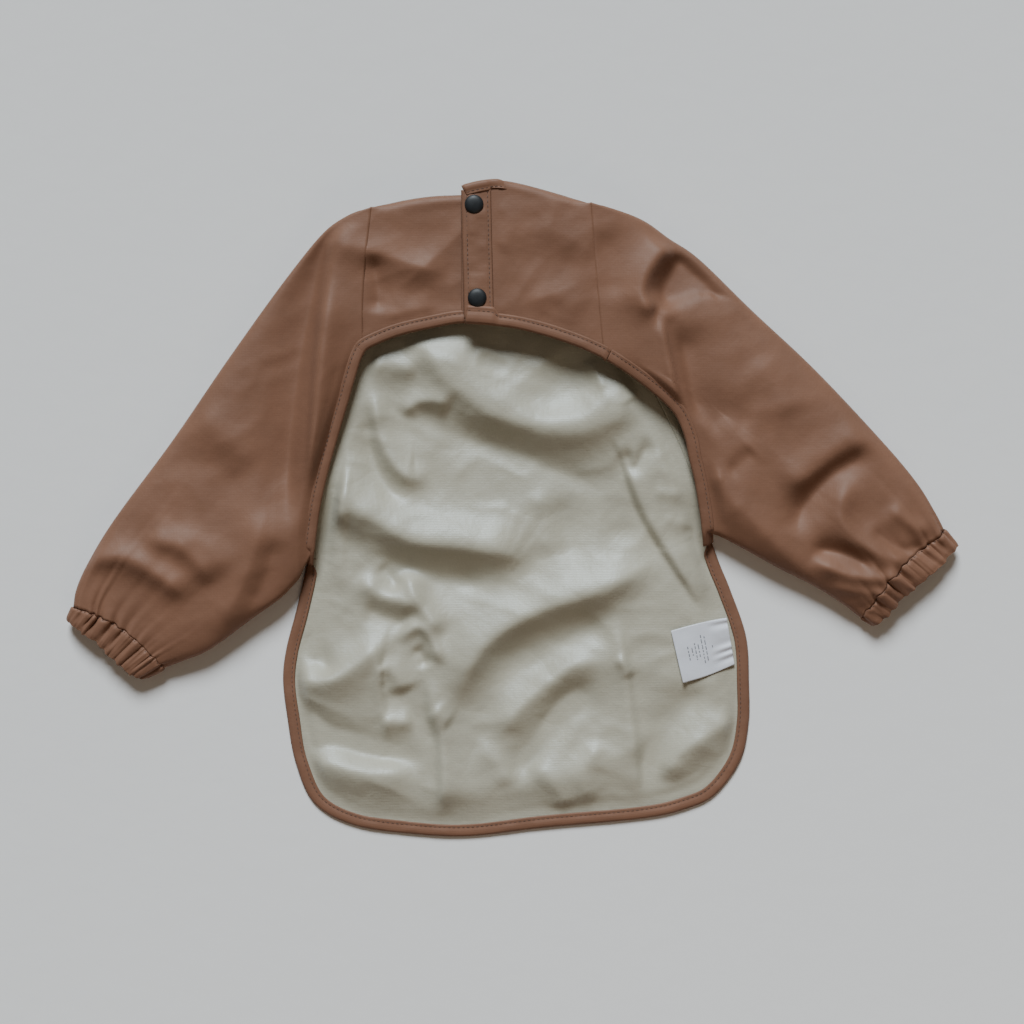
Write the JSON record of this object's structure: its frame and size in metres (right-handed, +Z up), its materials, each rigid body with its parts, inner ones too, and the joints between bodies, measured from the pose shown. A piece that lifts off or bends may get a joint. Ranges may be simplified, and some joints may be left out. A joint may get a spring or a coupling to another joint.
{
  "type": "long-sleeved baby bib",
  "caption": "Soft coated-fabric bib with long sleeves and elastic cuffs, a back closed by snaps, bound edges and a crumb pocket on its front.",
  "frame": {"origin": "centre of the box round the whole bib, on the surface that it lies on", "axes": "+X from the left cuff to the right cuff, +Y from the hem to the neck, +Z up from the surface, out of the bib's back"},
  "size_m": [0.5669, 0.4139, 0.028],
  "materials": {
    "coated_fabric": "smooth polyurethane-coated knit, satin sheen, soft creases",
    "knit_backing": "fine satin-like warp knit, the inner face of the coated fabric",
    "binding_tape": "folded strip of the coated fabric with one row of stitches",
    "elastic_band": "braided elastic, hidden in the cuff hem",
    "snap_plastic": "matt moulded acetal",
    "label_satin": "white satin label tape"
  },
  "bodies": {
    "front": {"front_panel": "knit_backing", "front_pocket": "coated_fabric", "pocket_hem": "coated_fabric", "front_neck_binding": "binding_tape", "hem_binding": "binding_tape", "left_shoulder": "coated_fabric", "right_shoulder": "coated_fabric", "left_arch_side_binding": "binding_tape", "right_arch_side_binding": "binding_tape"},
    "right_back": {"right_back_panel": "coated_fabric", "right_placket": "coated_fabric", "right_arch_binding": "binding_tape", "right_neck_binding": "binding_tape", "upper_snap_cap": "snap_plastic", "upper_snap_socket": "snap_plastic", "lower_snap_cap": "snap_plastic", "lower_snap_socket": "snap_plastic"},
    "left_back": {"left_back_panel": "coated_fabric", "left_placket": "coated_fabric", "left_arch_binding": "binding_tape", "left_neck_binding": "binding_tape", "upper_snap_stud": "snap_plastic", "upper_snap_post": "snap_plastic", "lower_snap_stud": "snap_plastic", "lower_snap_post": "snap_plastic"},
    "left_arm": {"left_sleeve": "coated_fabric", "left_cuff": "coated_fabric", "left_cuff_elastic": "elastic_band"},
    "right_arm": {"right_sleeve": "coated_fabric", "right_cuff": "coated_fabric", "right_cuff_elastic": "elastic_band"},
    "label": {"care_label": "label_satin"}
  },
  "joints": [
    {"name": "right_back_open", "type": "hinge", "parent": "front", "child": "right_back", "pos_m": [0.0575, 0.0946, 0.0258], "axis": [-0.0864, 0.9963, 0], "range_deg": [0, 110]},
    {"name": "left_back_open", "type": "hinge", "parent": "front", "child": "left_back", "pos_m": [-0.091, 0.097, 0.0197], "axis": [-0.0321, -0.9995, 0], "range_deg": [0, 88]},
    {"name": "left_arm_fold", "type": "hinge", "parent": "front", "child": "left_arm", "pos_m": [-0.12, 0.173, 0.024], "axis": [0.067, 0.9978, 0], "range_deg": [0, 100]},
    {"name": "right_arm_fold", "type": "hinge", "parent": "front", "child": "right_arm", "pos_m": [0.099, 0.171, 0.024], "axis": [0.1592, -0.9872, 0], "range_deg": [0, 100]},
    {"name": "label_flip", "type": "hinge", "parent": "front", "child": "label", "pos_m": [0.136, -0.068, 0.0031], "axis": [-0.1671, 0.9859, 0], "range_deg": [0, 140]}
  ],
  "couplings": [
    {"joint": "left_back_open", "follows": "right_back_open", "ratio": 0.8}
  ]
}
